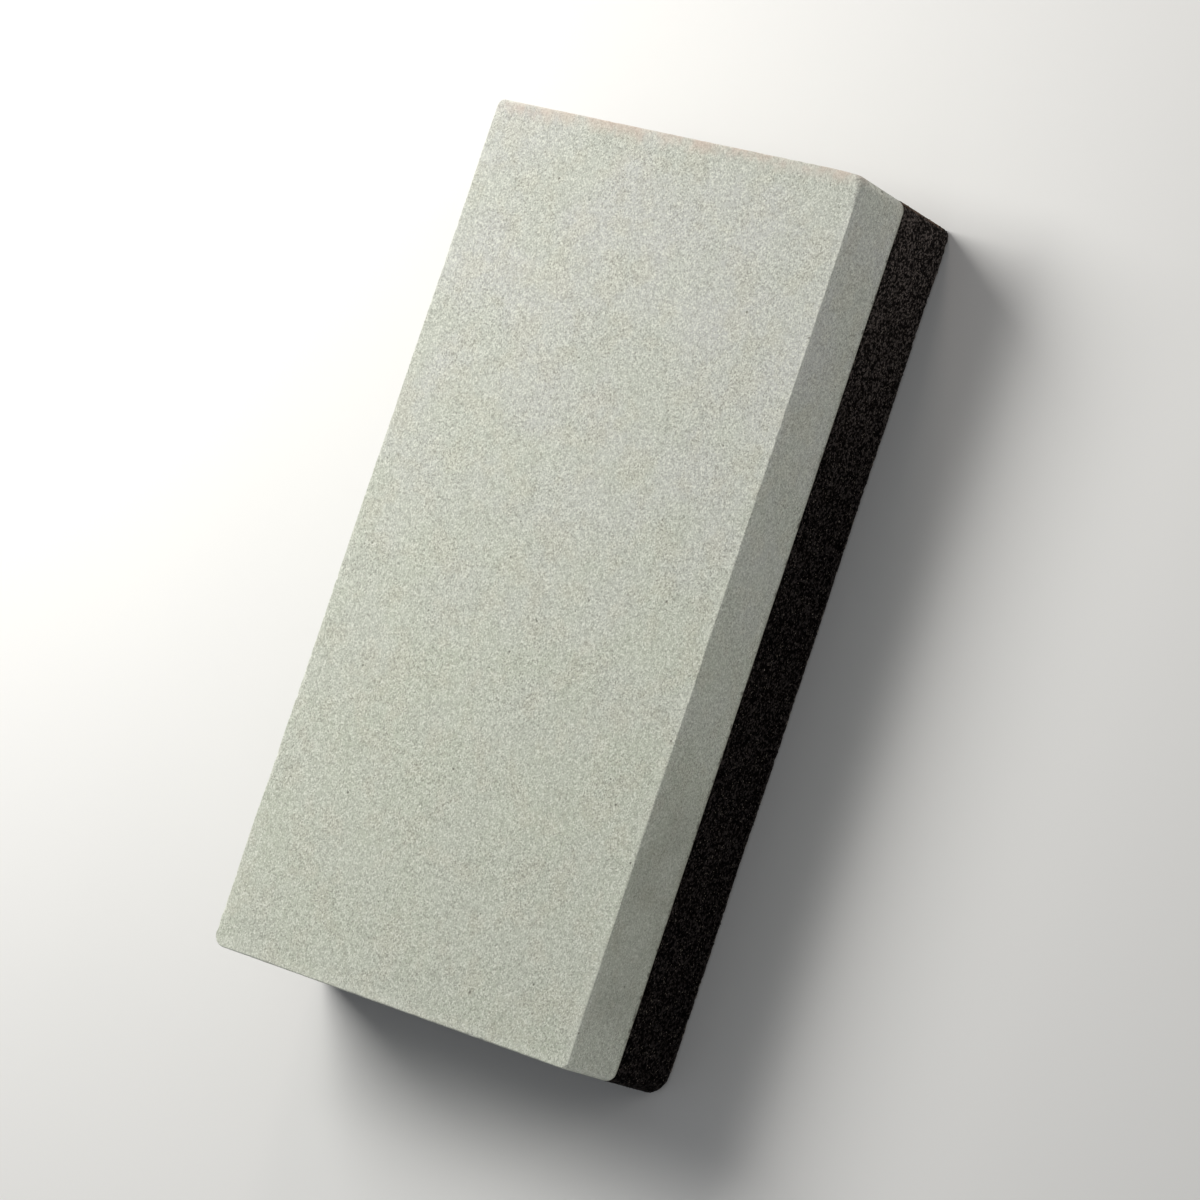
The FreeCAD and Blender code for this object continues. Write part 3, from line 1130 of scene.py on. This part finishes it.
def declare(piece, replaced=None):
    """Hide the CAD part that a finished piece replaces, if any, and attach the piece to the root body.
    """
    if replaced:
        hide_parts(replaced)
    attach(piece, "root")


class WHETSTONE_OT_coarse_slab(bpy.types.Operator):
    """Make the dark coarse-grit slab that the stone lies on"""

    bl_idname = "whetstone.coarse_slab"
    bl_label = "Coarse-Grit Slab"
    bl_options = {"REGISTER", "UNDO"}

    def execute(self, context):
        settings = context.scene.whetstone_coarse_slab
        form = SlabForm(COARSE_LOW, COARSE_HIGH, face_up=False, settings=settings)
        piece = make_slab("coarse_grit_stone", form, coarse_grit_material(settings), seed=21)
        declare(piece, replaced="coarse_grit_slab")
        return {"FINISHED"}


class WHETSTONE_OT_exposed_grit(bpy.types.Operator):
    """Scatter crystals over the open surface of the coarse-grit slab"""

    bl_idname = "whetstone.exposed_grit"
    bl_label = "Exposed Grit"
    bl_options = {"REGISTER", "UNDO"}

    def execute(self, context):
        settings = context.scene.whetstone_exposed_grit
        slab = bpy.data.objects["coarse_grit_stone"]
        piece = bpy.data.objects.new("exposed_grit", slab.data.copy())
        context.scene.collection.objects.link(piece)
        finish_with_nodes(piece, "Exposed Grit", settings, crystal_material(settings))
        declare(piece)
        return {"FINISHED"}


class WHETSTONE_OT_bond_film(bpy.types.Operator):
    """Make the film of set adhesive between the slabs"""

    bl_idname = "whetstone.bond_film"
    bl_label = "Bond Film"
    bl_options = {"REGISTER", "UNDO"}

    def execute(self, context):
        settings = context.scene.whetstone_bond_film
        piece = bpy.data.objects.new("bond_line", make_film_mesh("bond_line", settings))
        context.scene.collection.objects.link(piece)
        piece.data.materials.append(bond_film_material(settings))
        declare(piece, replaced="bond_film")
        return {"FINISHED"}


def fine_slab_chips():
    """The larger chips at the ends of the long side: (centre, radius) of a ball for each."""
    right_top = Vector((FINE_HIGH.x, FINE_LOW.y, FINE_HIGH.z))
    left_top = Vector((FINE_LOW.x, FINE_LOW.y, FINE_HIGH.z))
    left_foot = Vector((FINE_LOW.x, FINE_LOW.y, FINE_LOW.z))
    return [
        (right_top + Vector((-0.07, 0.07, -2.6)) * MM, 0.72 * MM),
        (right_top + Vector((0.09, -0.09, -4.3)) * MM, 1.00 * MM),
        (left_foot + Vector((-0.62, 1.5, 0.0)) * MM, 0.75 * MM),
        (left_top + Vector((0.12, 0.10, -0.15)) * MM, 0.42 * MM),
    ]


class WHETSTONE_OT_fine_slab(bpy.types.Operator):
    """Make the pale fine-grit slab on top of the stone"""

    bl_idname = "whetstone.fine_slab"
    bl_label = "Fine-Grit Slab"
    bl_options = {"REGISTER", "UNDO"}

    def execute(self, context):
        settings = context.scene.whetstone_fine_slab
        form = SlabForm(FINE_LOW, FINE_HIGH, face_up=True, settings=settings)
        piece = make_slab("fine_grit_stone", form, fine_grit_material(settings), seed=4,
                          extra_bites=fine_slab_chips())
        declare(piece, replaced="fine_grit_slab")
        return {"FINISHED"}


# Each lamp's offset from the middle of the stone, its side and its colour.
LAMPS = {
    "key": ((0.08, 0.15, 0.20), 0.16, (1.0, 0.985, 0.95)),
    "fill": ((0.20, -0.45, 0.16), 0.24, (1.0, 0.97, 0.93)),
    "front": ((-0.20, -0.11, 0.07), 0.08, (1.0, 0.98, 0.95)),
    "rim": ((0.40, 0.06, 0.16), 0.08, (1.0, 0.88, 0.80)),
}
FLOOR_SIDES = 96
NEAREST_SEEN, FARTHEST_SEEN = 0.01, 20.0


class WHETSTONE_OT_studio(bpy.types.Operator):
    """Set the floor, the lamps and the camera"""

    bl_idname = "whetstone.studio"
    bl_label = "Studio"
    bl_options = {"REGISTER", "UNDO"}

    def execute(self, context):
        settings = context.scene.whetstone_studio
        middle = (cad_low + cad_high) / 2
        make_floor(context.scene, settings)
        make_sky(context.scene, settings)
        for name, looks in LAMPS.items():
            lamp_power = getattr(settings, name + "_power")
            make_lamp(context.scene, name + "_lamp", middle, lamp_power, *looks)
        make_camera(context.scene, settings, middle)
        context.scene.view_settings.view_transform = "Standard"
        return {"FINISHED"}


def make_floor(scene, settings):
    lowest, _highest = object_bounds()
    disc = bmesh.new()
    bmesh.ops.create_circle(
        disc, cap_ends=True, segments=FLOOR_SIDES, radius=settings.floor_radius,
        matrix=Matrix.Translation((0, 0, lowest.z)))
    mesh = bpy.data.meshes.new("floor")
    disc.to_mesh(mesh)
    disc.free()
    floor = bpy.data.objects.new("floor", mesh)
    scene.collection.objects.link(floor)
    mesh.materials.append(floor_material(settings))
    floor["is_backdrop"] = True


def make_sky(scene, settings):
    world = bpy.data.worlds.new("studio")
    world.use_nodes = True
    background = world.node_tree.nodes["Background"]
    background.inputs["Color"].default_value = opaque(settings.sky_colour)
    background.inputs["Strength"].default_value = settings.sky_strength
    scene.world = world


def make_lamp(scene, name, middle, lamp_power, offset, size, lamp_colour):
    """Square area lamp at an offset from the middle of the stone, facing it."""
    data = bpy.data.lights.new(name, "AREA")
    data.size = size
    data.energy = lamp_power
    data.color = lamp_colour
    lamp = bpy.data.objects.new(name, data)
    lamp.location = middle + Vector(offset)
    lamp.rotation_euler = Vector(offset).to_track_quat("Z", "Y").to_euler()
    lamp.visible_camera = False
    scene.collection.objects.link(lamp)


def make_camera(scene, settings, middle):
    data = bpy.data.cameras.new("camera")
    data.lens = settings.lens
    data.clip_start = NEAREST_SEEN
    data.clip_end = FARTHEST_SEEN
    camera = bpy.data.objects.new("camera", data)
    upright = Matrix.Rotation(math.pi / 2 - settings.elevation, 4, "X")
    turned = Matrix.Rotation(-settings.azimuth, 4, "Z") @ upright
    rolled = turned @ Matrix.Rotation(-settings.roll, 4, "Z")
    back = turned.to_3x3() @ Vector((0, 0, 1))
    place = middle + Vector(settings.aim) + back * settings.distance
    camera.matrix_world = Matrix.Translation(place) @ rolled
    scene.collection.objects.link(camera)
    scene.camera = camera


OPERATORS = (
    WHETSTONE_OT_coarse_slab,
    WHETSTONE_OT_exposed_grit,
    WHETSTONE_OT_bond_film,
    WHETSTONE_OT_fine_slab,
    WHETSTONE_OT_studio,
)

SETTINGS = {
    "whetstone_coarse_slab": CoarseSlabSettings,
    "whetstone_exposed_grit": ExposedGritSettings,
    "whetstone_bond_film": BondFilmSettings,
    "whetstone_fine_slab": FineSlabSettings,
    "whetstone_studio": StudioSettings,
}


class WHETSTONE_PT_panel(bpy.types.Panel):
    """The whetstone's pieces and their settings"""

    bl_idname = "WHETSTONE_PT_panel"
    bl_label = "Combination Whetstone"
    bl_space_type = "VIEW_3D"
    bl_region_type = "UI"
    bl_category = "Whetstone"

    def draw(self, context):
        for operator, name in zip(OPERATORS, SETTINGS):
            box = self.layout.box()
            box.operator(operator.bl_idname)
            group = getattr(context.scene, name)
            for setting in SETTINGS[name].__annotations__:
                box.prop(group, setting)


CLASSES = (*SETTINGS.values(), *OPERATORS, WHETSTONE_PT_panel)


def register():
    for cls in CLASSES:
        bpy.utils.register_class(cls)
    for name, group in SETTINGS.items():
        setattr(bpy.types.Scene, name, bpy.props.PointerProperty(type=group))


def unregister():
    for name in SETTINGS:
        delattr(bpy.types.Scene, name)
    for cls in reversed(CLASSES):
        bpy.utils.unregister_class(cls)


def main():
    register()
    bpy.ops.whetstone.coarse_slab()
    bpy.ops.whetstone.exposed_grit()
    bpy.ops.whetstone.bond_film()
    bpy.ops.whetstone.fine_slab()
    bpy.ops.whetstone.studio()


if __name__ == "__main__":
    main()
